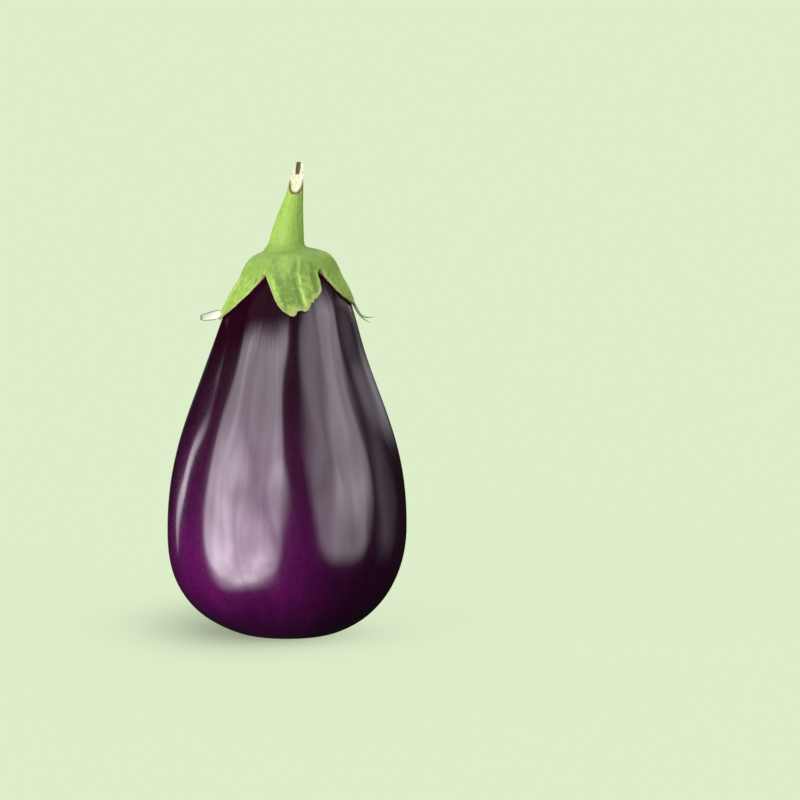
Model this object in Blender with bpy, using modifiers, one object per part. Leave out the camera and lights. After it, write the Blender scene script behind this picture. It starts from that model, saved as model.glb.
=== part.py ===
"""A globe eggplant that stands on its blossom end: the fruit, the calyx that caps it and the cut stem.

Metres, +Z up. The origin is the centre of the flat spot that the fruit stands on. The front is -Y.
Angles round the fruit are in degrees from the front, growing towards +X.
"""

import math
from collections import namedtuple

import bmesh
import bpy
import numpy as np
from mathutils import Vector

# Fruit
FRUIT_HEIGHT = 0.1568
FRUIT_RADIUS = 0.0500
REST_RADIUS = 0.0150  # of the flat spot
# Outline above the flat spot, as shares of the fruit's radius and height.
OUTLINE = (
    (0.520, 0.019),
    (0.720, 0.059),
    (0.892, 0.126),
    (0.988, 0.220),
    (1.000, 0.298),
    (0.972, 0.412),
    (0.880, 0.540),
    (0.738, 0.667),
    (0.620, 0.776),
    (0.527, 0.869),
    (0.438, 0.930),
    (0.322, 0.974),
    (0.180, 0.995),
    (0.000, 1.000),
)
# How far the round outline swells, as (share of radius, waves round the fruit).
SWELLS = ((0.010, 2), (0.008, 3), (0.004, 5))
BELLY_SHIFT = -0.0007  # of the belly, towards +X
TOP_SHIFT = 0.0012  # of the top, towards +X
TOP_TILT = 0.045  # rise of the top for each metre towards +X
FRUIT_SIDES = 64
OUTLINE_STEPS = 40

# Calyx
CALYX_GAP = 0.0004  # between the fruit's skin and the calyx
CALYX_THICKNESS = 0.0041  # round the stem
LOBE_THICKNESS = 0.0010
TAIL_THICKNESS = 0.0008
SEAT_RADIUS = 0.0080  # of the flat top that the stem stands on
SEAT_RISE = 0.0004  # of that flat top above the calyx round it
COLLAR_FLARE = 0.0030  # how much wider the collar under the seat is than the seat
HUB_RADIUS = 0.0030  # inside it the calyx is one flat face
THICK_TO = 0.0125  # distance from the top of the fruit at which the calyx starts to thin
THIN_FROM = 0.0245  # and at which it has thinned to its lobes
EDGE_LEAD = 0.0030  # how much sooner a lobe's edges thin than its middle
LOBE_COLUMNS = 10
HUB_ROWS = 8
LOBE_ROWS = 10
TAIL_ROWS = 4

# A lobe runs between two notches. Reaches and notches are distances from the top of the fruit,
# along its skin. The end is the share of the lobe that is missing, at even steps across it.
Lobe = namedtuple("Lobe", "left right left_notch right_notch tip tip_span reach end arch tail")
Tail = namedtuple("Tail", "length lift width")
POINTED = (0.05, 0.015, 0.0, 0.015, 0.05)
TORN = (0.06, 0.0, 0.02, 0.05, 0.12, 0.09, 0.14, 0.28, 0.24, 0.36, 0.42)
CURLED = Tail(0.0045, 0.0058, 0.0034)
THREAD = Tail(0.0085, 0.0070, 0.0014)
POINT = Tail(0.0030, 0.0012, 0.0014)
LOBES = {
    "front": Lobe(-33, 43, 0.0175, 0.0168, 19, 38, 0.0380, TORN, 0.0003, None),
    "right": Lobe(43, 122, 0.0168, 0.0185, 91, 9, 0.0365, POINTED, 0.0003, THREAD),
    "back_right": Lobe(122, 188, 0.0185, 0.0175, 158, 8, 0.0400, POINTED, 0.0006, POINT),
    "back_left": Lobe(188, 254, 0.0175, 0.0185, 219, 14, 0.0370, POINTED, 0.0004, None),
    "left": Lobe(-106, -33, 0.0185, 0.0175, -84, 8, 0.0410, POINTED, 0.0002, CURLED),
}

# Stem
STEM_GAP = 0.0003  # between the calyx's seat and the stem
STEM_LENGTH = 0.0350
STEM_BASE_RADIUS = SEAT_RADIUS
STEM_TIP_RADIUS = 0.00185
# Centre line and girth: sideways and backward lean and height as shares of the length, and where
# the radius stands between the tip's (0) and the base's (1).
STEM_LINE = (
    (-0.012, 0.000, 0.00, 1.00),
    (-0.008, 0.000, 0.04, 0.90),
    (-0.002, 0.000, 0.11, 0.83),
    (0.016, 0.006, 0.25, 0.70),
    (0.049, 0.018, 0.43, 0.50),
    (0.088, 0.032, 0.61, 0.29),
    (0.115, 0.045, 0.80, 0.15),
    (0.139, 0.056, 1.00, 0.00),
)
STEM_STEPS = 26
STEM_BEVEL_RESOLUTION = 6
STEM_ROOT = 0.0015  # how far the tube runs on below the seat before it is cut level there
CUT_ANGLE = math.radians(66)  # of the slanting cut at the stem's tip, from level
PITH_RADIUS = 0.00095
PITH_DEPTH = 0.0070
PITH_INSET = 0.0007  # from the back of the stem's tip to the pith's middle
CUTTER_SIZE = 0.0400

SKIN = ("skin", (0.075, 0.012, 0.060), 0.18)
CALYX_GREEN = ("calyx_green", (0.36, 0.58, 0.13), 0.55)
STEM_GREEN = ("stem_green", (0.40, 0.62, 0.13), 0.50)


def clear_scene():
    for old in list(bpy.data.objects):
        bpy.data.objects.remove(old)


def new_collection(name):
    made = bpy.data.collections.new(name)
    bpy.context.scene.collection.children.link(made)
    return made


def make_material(name, colour, roughness):
    made = bpy.data.materials.new(name)
    made.use_nodes = True
    shader = made.node_tree.nodes["Principled BSDF"]
    shader.inputs["Base Color"].default_value = (*colour, 1.0)
    shader.inputs["Roughness"].default_value = roughness
    shader.inputs["Metallic"].default_value = 0.0
    return made


def smooth_curve(points, first_direction, last_direction, steps):
    """Points along one cubic spline, which passes through the given points with even curvature."""
    p = np.array(points, float)
    span = np.linalg.norm(np.diff(p, axis=0), axis=1)
    count = len(p)
    rows = np.zeros((count, count))
    wanted = np.zeros_like(p)
    rows[0, 0] = rows[-1, -1] = 1.0
    wanted[0], wanted[-1] = first_direction, last_direction
    for i in range(1, count - 1):
        before, after = span[i - 1], span[i]
        rows[i, i - 1 : i + 2] = after, 2 * (before + after), before
        wanted[i] = 3 * (after * (p[i] - p[i - 1]) / before + before * (p[i + 1] - p[i]) / after)
    slopes = np.linalg.solve(rows, wanted)
    reached = np.concatenate([[0.0], np.cumsum(span)])
    made = []
    for distance in np.linspace(0.0, reached[-1], steps + 1):
        i = min(int(np.searchsorted(reached, distance, "right")) - 1, count - 2)
        t = (distance - reached[i]) / span[i]
        made.append(
            (1 + 2 * t) * (1 - t) ** 2 * p[i]
            + t * (1 - t) ** 2 * span[i] * slopes[i]
            + t * t * (3 - 2 * t) * p[i + 1]
            + t * t * (t - 1) * span[i] * slopes[i + 1]
        )
    return np.array(made)


def fruit_outline(steps):
    """(radius, height) from the flat spot's edge to the top of the fruit."""
    points = [(REST_RADIUS, 0.0)]
    points += [(r * FRUIT_RADIUS, z * FRUIT_HEIGHT) for r, z in OUTLINE]
    return smooth_curve(points, (1.0, 0.0), (-1.0, 0.0), steps)


def ease(share):
    """0 to 1, level at both ends, as the share goes from 0 to 1."""
    share = min(1.0, max(0.0, share))
    return share * share * (3 - 2 * share)


def swell(angle, height):
    """The factor by which the fruit's radius differs from its outline there."""
    share = height / FRUIT_HEIGHT
    turn = math.radians(angle)
    waves = sum(size * math.sin(count * (turn - math.pi / 2)) for size, count in SWELLS)
    return 1.0 + waves * ease(share / 0.25) * ease((0.97 - share) / 0.25)


def ring_point(angle, radius, height):
    """The point there, moved by how the grown fruit's axis wanders from a straight line."""
    share = height / FRUIT_HEIGHT
    belly = ease(share / 0.08) * ease((0.28 - share) / 0.16)
    top = ease((share - 0.70) / 0.30)
    turn = math.radians(angle)
    x = radius * math.sin(turn)
    return Vector(
        (
            x + BELLY_SHIFT * belly + TOP_SHIFT * top,
            -radius * math.cos(turn),
            height + TOP_TILT * x * top,
        )
    )


def evaluated_mesh(obj):
    """A mesh with the object's modifiers applied. A curve becomes a mesh too."""
    graph = bpy.context.evaluated_depsgraph_get()
    return bpy.data.meshes.new_from_object(obj.evaluated_get(graph))


def replace_with_mesh(obj):
    """The object again, as a plain mesh object of the same name with nothing left to evaluate."""
    bpy.context.view_layer.update()
    mesh = evaluated_mesh(obj)
    name, place, home = obj.name, obj.matrix_world.copy(), obj.users_collection[0]
    bpy.data.objects.remove(obj)
    made = bpy.data.objects.new(name, mesh)
    made.matrix_world = place
    home.objects.link(made)
    return made


def finish_piece(obj, material, sharp_degrees=40):
    obj.data.materials.clear()
    obj.data.materials.append(make_material(*material))
    obj.data.shade_smooth()
    obj.data.set_sharp_from_angle(angle=math.radians(sharp_degrees))


def make_fruit(home):
    """A turned solid, flat where it rests, swollen a little out of round."""
    rim = fruit_outline(OUTLINE_STEPS)[::-1]
    profile = [(0.0, FRUIT_HEIGHT), *rim[1:], (0.0, 0.0)]
    mesh = bpy.data.meshes.new("fruit")
    mesh.from_pydata(
        [(r, 0.0, z) for r, z in profile],
        [(i, i + 1) for i in range(len(profile) - 1)],
        [],
    )
    turned = bpy.data.objects.new("fruit", mesh)
    home.objects.link(turned)
    screw = turned.modifiers.new("turn", "SCREW")
    screw.steps = screw.render_steps = FRUIT_SIDES
    screw.use_merge_vertices = True
    screw.merge_threshold = 0.00005
    fruit = replace_with_mesh(turned)
    for vertex in fruit.data.vertices:
        x, y, z = vertex.co
        angle = math.degrees(math.atan2(x, -y))
        vertex.co = ring_point(angle, math.hypot(x, y) * swell(angle, z), z)
    finish_piece(fruit, SKIN, sharp_degrees=60)
    return fruit


class Skin:
    """The fruit's skin as a place to lay the calyx on, by angle and distance from the top."""

    SAMPLES = 600

    def __init__(self):
        outline = fruit_outline(self.SAMPLES)[::-1]
        steps = np.linalg.norm(np.diff(outline, axis=0), axis=1)
        self.distance = np.concatenate([[0.0], np.cumsum(steps)])
        self.radius, self.height = outline.T
        along = np.gradient(outline, self.distance, axis=0)
        along /= np.linalg.norm(along, axis=1)[:, None]
        self.out_radius, self.out_height = -along[:, 1], along[:, 0]

    def at(self, angle, distance, lift):
        """The point this far from the top along the skin, and lifted this far off it."""
        r, z, out_r, out_z = (
            float(np.interp(distance, self.distance, values))
            for values in (self.radius, self.height, self.out_radius, self.out_height)
        )
        return ring_point(angle, r * swell(angle, z) + lift * out_r, z + lift * out_z)

    def degrees_for(self, width, distance):
        """The angle that this width takes up there."""
        return math.degrees(width / float(np.interp(distance, self.distance, self.radius)))


def mix(a, b, share):
    return a + (b - a) * share


def lobe_end(lobe, across):
    """The share of the lobe that is missing at this share of its width."""
    return float(np.interp(across, np.linspace(0.0, 1.0, len(lobe.end)), lobe.end))


def lobe_point(lobe, skin, across, row):
    """The inner surface of a lobe's strip of the calyx. Rows run from the hub to the lobe's end
    and on along its tail."""
    notch = mix(lobe.left_notch, lobe.right_notch, across)
    if row <= HUB_ROWS:
        distance = mix(HUB_RADIUS, notch, row / HUB_ROWS)
        return skin.at(mix(lobe.left, lobe.right, across), distance, CALYX_GAP)
    out = min(1.0, (row - HUB_ROWS) / LOBE_ROWS)
    left = mix(lobe.left, lobe.tip - lobe.tip_span / 2, out)
    right = mix(lobe.right, lobe.tip + lobe.tip_span / 2, out)
    reach = mix(notch, lobe.reach, out * (1.0 - lobe_end(lobe, across)))
    lift = CALYX_GAP + lobe.arch * math.sin(math.pi * min(1.0, out * 0.75)) ** 2
    if row <= HUB_ROWS + LOBE_ROWS:
        return skin.at(mix(left, right, across), reach, lift)
    along = (row - HUB_ROWS - LOBE_ROWS) / TAIL_ROWS
    distance = lobe.reach + lobe.tail.length * along
    half = skin.degrees_for(lobe.tail.width * mix(1.0, 0.5, along), distance) / 2
    return skin.at(
        mix(lobe.tip - half, lobe.tip + half, across),
        distance,
        lift + lobe.tail.lift * along**1.6,
    )


def calyx_weight(distance, across):
    """How thick the calyx is there, from 1 round the stem to 0 in the lobes."""
    lead = EDGE_LEAD * (2 * across - 1) ** 2
    return 1.0 - ease((distance + lead - THICK_TO) / (THIN_FROM - THICK_TO))


def add_lobe(mesh, lobe, skin, weights):
    """One lobe's strip, from the hub to its end, as a grid bent to shape."""
    rows = HUB_ROWS + LOBE_ROWS + (TAIL_ROWS if lobe.tail else 0)
    before = set(mesh.verts)
    bmesh.ops.create_grid(mesh, x_segments=LOBE_COLUMNS, y_segments=rows, size=0.5)
    lobe_share = LOBE_THICKNESS / CALYX_THICKNESS
    tail_share = TAIL_THICKNESS / CALYX_THICKNESS
    for vertex in set(mesh.verts) - before:
        across = vertex.co.x + 0.5
        row = round((vertex.co.y + 0.5) * rows)
        vertex.co = lobe_point(lobe, skin, across, row)
        notch = mix(lobe.left_notch, lobe.right_notch, across)
        out = max(0.0, (row - HUB_ROWS) / LOBE_ROWS)
        distance = mix(HUB_RADIUS, notch, min(1.0, row / HUB_ROWS)) + out * (lobe.reach - notch)
        floor = mix(lobe_share, tail_share, min(1.0, out) ** 3)
        vertex[weights][0] = mix(floor, 1.0, calyx_weight(distance, across))


def make_calyx(home):
    """The green cap: a leathery shell with a lobe for each sepal, thick under the stem."""
    skin = Skin()
    mesh = bmesh.new()
    weights = mesh.verts.layers.deform.verify()
    for lobe in LOBES.values():
        add_lobe(mesh, lobe, skin, weights)
    bmesh.ops.remove_doubles(mesh, verts=mesh.verts, dist=1e-6)
    hub = [
        edge
        for edge in mesh.edges
        if edge.is_boundary and all(v.co.xy.length < HUB_RADIUS * 1.01 for v in edge.verts)
    ]
    bmesh.ops.contextual_create(mesh, geom=hub)
    bmesh.ops.recalc_face_normals(mesh, faces=mesh.faces)
    if sum(face.normal.z * face.calc_area() for face in mesh.faces) < 0:
        bmesh.ops.reverse_faces(mesh, faces=mesh.faces)
    data = bpy.data.meshes.new("calyx")
    mesh.to_mesh(data)
    mesh.free()
    calyx = bpy.data.objects.new("calyx", data)
    home.objects.link(calyx)
    calyx.vertex_groups.new(name="thickness")
    solid = calyx.modifiers.new("shell", "SOLIDIFY")
    solid.thickness = CALYX_THICKNESS
    solid.offset = 1.0
    solid.vertex_group = "thickness"
    solid.thickness_vertex_group = 0.0
    return calyx


def seat_height():
    return FRUIT_HEIGHT + CALYX_GAP + CALYX_THICKNESS + SEAT_RISE


def add_collar(calyx, helpers):
    """The knuckle of the calyx that carries the stem, with a flat top."""
    depth = CALYX_THICKNESS * 0.6 + SEAT_RISE
    bpy.ops.mesh.primitive_cone_add(
        vertices=40,
        radius1=SEAT_RADIUS + COLLAR_FLARE,
        radius2=SEAT_RADIUS,
        depth=depth,
        location=(STEM_LINE[0][0] * STEM_LENGTH, 0.0, seat_height() - depth / 2),
    )
    collar = bpy.context.object
    collar.name = "collar"
    move_to(collar, helpers)
    hide_helper(collar)
    join = calyx.modifiers.new("collar", "BOOLEAN")
    join.operation = "UNION"
    join.object = collar


def move_to(obj, collection):
    for old in list(obj.users_collection):
        old.objects.unlink(obj)
    collection.objects.link(obj)


def hide_helper(obj):
    obj.hide_render = True
    obj.display_type = "WIRE"


def stem_line():
    """(x, y, z, radius) along the stem."""
    base = seat_height() + STEM_GAP
    points = [
        (
            x * STEM_LENGTH,
            y * STEM_LENGTH,
            base + z * STEM_LENGTH,
            mix(STEM_TIP_RADIUS, STEM_BASE_RADIUS, girth),
        )
        for x, y, z, girth in STEM_LINE
    ]
    return smooth_curve(points, (0, 0, 1, -0.6), (0.08, 0.05, 1, -0.1), STEM_STEPS)


def make_stem(home):
    """A tapered, leaning tube, cut level where it meets the calyx."""
    line = stem_line()
    foot = line[0]
    root = foot - np.array([0.0, 0.0, STEM_ROOT, 0.0])
    points = [root, *line]
    curve = bpy.data.curves.new("stem", "CURVE")
    curve.dimensions = "3D"
    curve.bevel_depth = 1.0
    curve.bevel_resolution = STEM_BEVEL_RESOLUTION
    curve.use_fill_caps = True
    curve.twist_mode = "MINIMUM"
    spline = curve.splines.new("POLY")
    spline.points.add(len(points) - 1)
    for point, (x, y, z, radius) in zip(spline.points, points, strict=True):
        point.co = (x, y, z, 1.0)
        point.radius = radius
    tube = bpy.data.objects.new("stem", curve)
    home.objects.link(tube)
    stem = replace_with_mesh(tube)
    mesh = bmesh.new()
    mesh.from_mesh(stem.data)
    bmesh.ops.remove_doubles(mesh, verts=mesh.verts, dist=1e-6)
    whole = mesh.verts[:] + mesh.edges[:] + mesh.faces[:]
    cut = bmesh.ops.bisect_plane(
        mesh, geom=whole, plane_co=(0.0, 0.0, foot[2]), plane_no=(0.0, 0.0, 1.0), clear_inner=True
    )
    rim = [part for part in cut["geom_cut"] if isinstance(part, bmesh.types.BMEdge)]
    bmesh.ops.contextual_create(mesh, geom=rim)
    bmesh.ops.recalc_face_normals(mesh, faces=mesh.faces)
    mesh.to_mesh(stem.data)
    mesh.free()
    return stem


def add_cutter(stem, cutter, name, direction, helpers):
    """Turns the cutter's +Z along the direction and takes it out of the stem."""
    cutter.name = name
    cutter.rotation_mode = "QUATERNION"
    cutter.rotation_quaternion = direction.to_track_quat("Z", "Y")
    move_to(cutter, helpers)
    hide_helper(cutter)
    cut = stem.modifiers.new(name, "BOOLEAN")
    cut.operation = "DIFFERENCE"
    cut.object = cutter


def slant_tip(stem, helpers):
    """The slanting cut that freed the fruit. It faces the front."""
    x, y, z, radius = stem_line()[-1]
    facing = Vector((0.0, -math.sin(CUT_ANGLE), math.cos(CUT_ANGLE)))
    top_edge = Vector((x, y + radius, z))
    middle = top_edge + facing * CUTTER_SIZE / 2
    bpy.ops.mesh.primitive_cube_add(size=CUTTER_SIZE, location=middle)
    add_cutter(stem, bpy.context.object, "slant", facing, helpers)


def hollow_pith(stem, helpers):
    """The hollow pith that the slanting cut laid open."""
    line = stem_line()
    x, y, z, radius = line[-1]
    along = Vector(line[-1][:3] - line[-1 - STEM_STEPS // 4][:3]).normalized()
    mouth = Vector((x, y + radius - PITH_INSET, z))
    bpy.ops.mesh.primitive_cylinder_add(
        vertices=16, radius=PITH_RADIUS, depth=PITH_DEPTH * 2, location=mouth
    )
    add_cutter(stem, bpy.context.object, "pith", along, helpers)


def main():
    clear_scene()
    eggplant = new_collection("eggplant")
    helpers = new_collection("cutters")
    make_fruit(eggplant)
    calyx = make_calyx(eggplant)
    add_collar(calyx, helpers)
    finish_piece(calyx, CALYX_GREEN)
    stem = make_stem(eggplant)
    slant_tip(stem, helpers)
    hollow_pith(stem, helpers)
    finish_piece(stem, STEM_GREEN)


main()
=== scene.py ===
import math
from collections import namedtuple

import bmesh
import bpy
import numpy as np
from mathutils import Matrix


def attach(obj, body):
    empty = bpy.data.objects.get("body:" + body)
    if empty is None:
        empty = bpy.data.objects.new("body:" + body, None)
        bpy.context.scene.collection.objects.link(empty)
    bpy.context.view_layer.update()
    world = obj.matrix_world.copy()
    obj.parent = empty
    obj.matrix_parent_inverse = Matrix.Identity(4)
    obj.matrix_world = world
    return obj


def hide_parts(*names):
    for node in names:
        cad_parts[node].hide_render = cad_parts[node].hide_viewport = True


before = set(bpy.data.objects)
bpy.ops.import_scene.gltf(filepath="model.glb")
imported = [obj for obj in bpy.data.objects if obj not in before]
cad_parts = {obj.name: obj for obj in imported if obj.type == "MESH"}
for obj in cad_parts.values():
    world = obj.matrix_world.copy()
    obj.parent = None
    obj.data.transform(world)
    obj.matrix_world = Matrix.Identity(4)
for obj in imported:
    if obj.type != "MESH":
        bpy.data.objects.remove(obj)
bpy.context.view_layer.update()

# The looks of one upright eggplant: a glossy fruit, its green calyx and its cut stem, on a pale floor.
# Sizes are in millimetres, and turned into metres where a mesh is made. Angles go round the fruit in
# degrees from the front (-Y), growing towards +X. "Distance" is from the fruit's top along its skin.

MM = 0.001

# Fruit. The sizes down to TOP_TILT repeat the CAD's.
FRUIT_HEIGHT = 156.8
FRUIT_RADIUS = 50.0
REST_RADIUS = 15.0
# Outline above the flat spot, as shares of the fruit's radius and height.
OUTLINE = (
    (0.520, 0.019),
    (0.720, 0.059),
    (0.892, 0.126),
    (0.988, 0.220),
    (1.000, 0.298),
    (0.972, 0.412),
    (0.880, 0.540),
    (0.738, 0.667),
    (0.620, 0.776),
    (0.527, 0.869),
    (0.438, 0.930),
    (0.322, 0.974),
    (0.180, 0.995),
    (0.000, 1.000),
)
SWELLS = ((0.010, 2), (0.008, 3), (0.004, 5))  # (share of radius, waves round the fruit)
BELLY_SHIFT = -0.7  # sideways
TOP_SHIFT = 1.2
TOP_TILT = 0.045  # rise for each millimetre towards +X
# Shallow lengthwise dents in the skin: (depth, waves round the fruit, phase, turn from bottom to top)
DENTS = ((0.10, 7, 0.6, 0.5), (0.06, 11, 2.1, -0.9), (0.04, 17, 4.0, 1.1))
SCAR_RISE = 0.6  # of the blossom scar, in the middle of the flat spot
SCAR_RADIUS = 4.0
FRUIT_COLUMNS = 288
FRUIT_ROWS = 210
REST_ROWS = 10
OUTLINE_STEPS = 600  # of the outline that the calyx is laid on
SKIN_WELD = 0.001  # joins the points that fall together in the middle, below and above

# Calyx
CALYX_GAP = 0.15  # between the skin and the calyx
HUB_DISTANCE = 4.5  # where the calyx starts, inside the stem
THICK = 4.35  # near the stem, up to this distance from the top
THICK_TO = 12.5
THIN = 0.95  # towards the tips, from this distance on
THIN_FROM = 24.5
MARGIN_THICKNESS = 0.35
MARGIN_WIDTH = 0.9  # over which a lobe's edge is rounded off
MARGIN_LIFT = 0.55  # of a lobe's edge off the skin
MARGIN_LIFT_WIDTH = 2.6  # over which the edge bends up
FOLD_FREE = 2.0  # from a lobe's edge, over which its folds fade in
FOLD_SHARE_BELOW = 0.3  # of a dent, on the calyx's inner side
MARGIN_FADE = 0.9  # how fast the pale colour of the edges fades inwards
MARGIN_FROM = 14.0  # distance from the top at which the pale edges begin, over MARGIN_RUN
MARGIN_RUN = 4.0
GRAIN_RADIUS = 12.0  # of the tube on which the calyx's lengthwise streaks are read
CALYX_WELD = 0.005  # joins the points at which neighbouring lobes meet
FILLET_RISE = 1.5  # of the calyx where it runs up the stem
FILLET_RADIUS = 7.4  # at which it starts, from the stem's middle
FILLET_REACH = 0.9
HUB_ROWS = 26
LOBE_ROWS = 64
# A lobe's sides are (share of its length, angle). Its end is (share of its width, distance).
Lobe = namedtuple("Lobe", "columns left right left_notch right_notch end")
LEFT_NOTCH = 19.4
RIGHT_NOTCH = 18.6
BACK_NOTCH = 19.5
LOBES = {
    "front": Lobe(
        96,
        (
            (0.0, -33),
            (0.05, -31),
            (0.24, -24),
            (0.46, -18),
            (0.64, -14),
            (0.79, -10),
            (0.91, -6),
            (1.0, -1),
        ),
        ((0.0, 42), (0.05, 39), (0.12, 37), (0.28, 36), (0.53, 36), (0.76, 35), (1.0, 34)),
        LEFT_NOTCH,
        RIGHT_NOTCH,
        (
            (0.00, 36.9),
            (0.08, 37.7),
            (0.16, 37.9),
            (0.21, 37.3),
            (0.24, 35.9),
            (0.35, 35.5),
            (0.43, 36.2),
            (0.50, 35.9),
            (0.56, 34.8),
            (0.60, 33.4),
            (0.63, 32.3),
            (0.68, 32.9),
            (0.71, 31.2),
            (0.78, 31.0),
            (0.84, 30.2),
            (0.92, 29.0),
            (1.00, 27.4),
        ),
    ),
    "right": Lobe(
        52,
        ((0.0, 42), (0.06, 43.5), (0.2, 46), (0.4, 51), (0.58, 56), (0.75, 64), (0.93, 77), (1.0, 85)),
        ((0.0, 121), (0.1, 118), (0.3, 113), (0.6, 106), (0.85, 99), (1.0, 94)),
        RIGHT_NOTCH,
        BACK_NOTCH,
        ((0.0, 36.0), (0.5, 37.4), (1.0, 36.2)),
    ),
    "back_right": Lobe(
        48,
        ((0.0, 121), (0.1, 124), (0.35, 131), (0.65, 141), (0.88, 150), (1.0, 155)),
        ((0.0, 188), (0.12, 185), (0.35, 179), (0.65, 171), (0.88, 165), (1.0, 161)),
        BACK_NOTCH,
        BACK_NOTCH,
        ((0.0, 39.4), (0.55, 41.4), (1.0, 39.6)),
    ),
    "back_left": Lobe(
        48,
        ((0.0, 188), (0.1, 190), (0.35, 196), (0.65, 204), (0.88, 211), (1.0, 215)),
        ((0.0, 254), (0.12, 251), (0.35, 244), (0.65, 234), (0.88, 228), (1.0, 224)),
        BACK_NOTCH,
        BACK_NOTCH,
        ((0.0, 36.4), (0.45, 38.2), (1.0, 36.3)),
    ),
    "left": Lobe(
        52,
        ((0.0, -106), (0.1, -104), (0.3, -100), (0.6, -94), (0.8, -90), (1.0, -86.5)),
        (
            (0.0, -33),
            (0.06, -34.5),
            (0.15, -37),
            (0.30, -42),
            (0.43, -46),
            (0.55, -52),
            (0.69, -58),
            (0.82, -66),
            (0.93, -75),
            (1.0, -81),
        ),
        BACK_NOTCH,
        LEFT_NOTCH,
        ((0.0, 40.4), (0.5, 41.2), (1.0, 40.6)),
    ),
}
# Folds that run down the calyx: the way as (distance, angle), the height, and the width.
Fold = namedtuple("Fold", "way height width")
# Their heights also set painted light on the folds and painted shade between them, in the colour.
FOLDS = (
    Fold(((12, 16), (19.8, 10), (25.5, 12), (30.4, 14), (34, 16.5)), 0.55, 0.8),
    Fold(((13, 11), (19.8, 5), (25.5, 8), (30.4, 10.5), (34, 13)), -0.50, 1.1),
    Fold(((10, -24), (16, -20), (24, -12), (34, -3)), -0.32, 1.5),
    Fold(((9, -6), (16, -5), (21, -3)), 0.35, 3.0),
    Fold(((17, -9), (24, -3), (34, 4)), -0.60, 3.2),
    Fold(((19, -23), (26, -15), (34, -6)), 0.35, 1.3),
    Fold(((13, 29), (20, 27), (30, 26)), -0.45, 3.4),
    Fold(((14, 26), (22, 23), (30, 25)), 0.22, 0.9),
    Fold(((14, 31), (22, 29), (28, 30)), -0.20, 0.8),
    Fold(((9, 78), (20, 84), (35, 90)), 0.45, 2.2),
    Fold(((12, 60), (22, 70), (33, 84)), 0.20, 1.0),
    Fold(((12, 100), (22, 98), (33, 94)), -0.25, 1.1),
    Fold(((9, 154), (22, 156), (40, 158)), 0.50, 2.0),
    Fold(((12, 141), (22, 148), (34, 154)), -0.25, 1.2),
    Fold(((12, 168), (22, 165), (34, 161)), 0.20, 1.0),
    Fold(((9, 221), (22, 220), (38, 219)), 0.45, 2.2),
    Fold(((12, 207), (22, 211), (32, 216)), -0.25, 1.2),
    Fold(((9, -70), (20, -76), (40, -84)), 0.45, 2.2),
    Fold(((12, -52), (22, -60), (36, -76)), 0.20, 1.1),
    Fold(((12, -88), (22, -87), (36, -85)), -0.22, 1.1),
)

# Stem. Its line repeats the CAD's.
STEM_FOOT = 162.0
STEM_LENGTH = 35.0
STEM_BASE_RADIUS = 8.0
STEM_TIP_RADIUS = 1.85
# Sideways and backward lean and height as shares of the length, and where the radius stands
# between the tip's (0) and the base's (1).
STEM_LINE = (
    (-0.012, 0.000, 0.00, 1.00),
    (-0.008, 0.000, 0.04, 0.90),
    (-0.002, 0.000, 0.11, 0.83),
    (0.016, 0.006, 0.25, 0.70),
    (0.049, 0.018, 0.43, 0.50),
    (0.088, 0.032, 0.61, 0.29),
    (0.115, 0.045, 0.80, 0.15),
    (0.139, 0.056, 1.00, 0.00),
)
STEM_ROOT = ((-2.2, 9.6), (-1.2, 8.9), (-0.5, 8.35))  # (height above the foot, radius) inside the calyx
STEM_STEPS = 120
STEM_COLUMNS = 96
STEM_RIDGES = ((0.016, 5, 0.9), (0.010, 8, 2.6), (0.006, 13, 4.4))  # (share of radius, count, phase)
STEM_TWIST = 0.5
CUT_FOOT = 183.6  # height at which the slanting cut starts, at the front
CUT_TOP = 196.6  # and at which it ends, at the back
CUT_BEND = 1.4
CUT_REACH = 0.82  # share of the way back at which it has reached its top
CUT_RINGS = 24
NOTCH_DEPTH = 0.5  # between the two points at the cut's top
NOTCH_WIDTH = 0.7
PITH_RADIUS = 1.10
PITH_FOOT = 190.8
PITH_DEPTH = 0.7
PITH_WALL = 0.6  # share of the wall behind it that the pith may take
RIM_WIDTH = 0.45  # of the cut's brown edge, as a share of the way to its middle
RIM_HEIGHT = 8.0  # to which it runs up from the cut's foot, fading over RIM_FADE
RIM_FADE = 5.0
STEM_GRAIN_RADIUS = 7.0  # of the tube on which the bark's streaks are read

# Dry tip of the left lobe, a cup that opens to the front: (x, height, half its height, depth).
CUP = (
    (-27.4, 134.2, 1.20, 0.9),
    (-29.2, 133.8, 1.65, 1.3),
    (-31.6, 133.3, 1.65, 1.3),
    (-33.8, 132.9, 1.40, 1.0),
    (-35.3, 132.7, 1.00, 0.6),
    (-35.9, 132.6, 0.45, 0.3),
)
CUP_FRONT = -4.6  # y of its edges
CUP_THICKNESS = 0.22
CUP_STEPS = 40
CUP_COLUMNS = 20
CUP_BEND = 80.0  # degrees that its wall turns from the middle to each edge
# Dry threads at the tip of the right lobe: (x, y, height, radius).
THREADS = {
    "long": (
        (26.2, -0.9, 140.4, 0.60),
        (28.6, -1.2, 136.6, 0.46),
        (31.0, -1.5, 133.2, 0.36),
        (33.2, -1.6, 132.5, 0.24),
        (36.4, -1.7, 132.8, 0.08),
    ),
    "short": (
        (26.8, -1.6, 139.0, 0.50),
        (28.8, -1.8, 135.4, 0.36),
        (30.8, -1.9, 132.7, 0.30),
        (32.4, -1.9, 131.4, 0.20),
        (34.4, -1.8, 130.2, 0.07),
    ),
}
THREAD_STEPS = 36
THREAD_COLUMNS = 10
THREAD_DARKNESS = 0.8  # of the threads, between the paper's colour and its rim's

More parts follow.
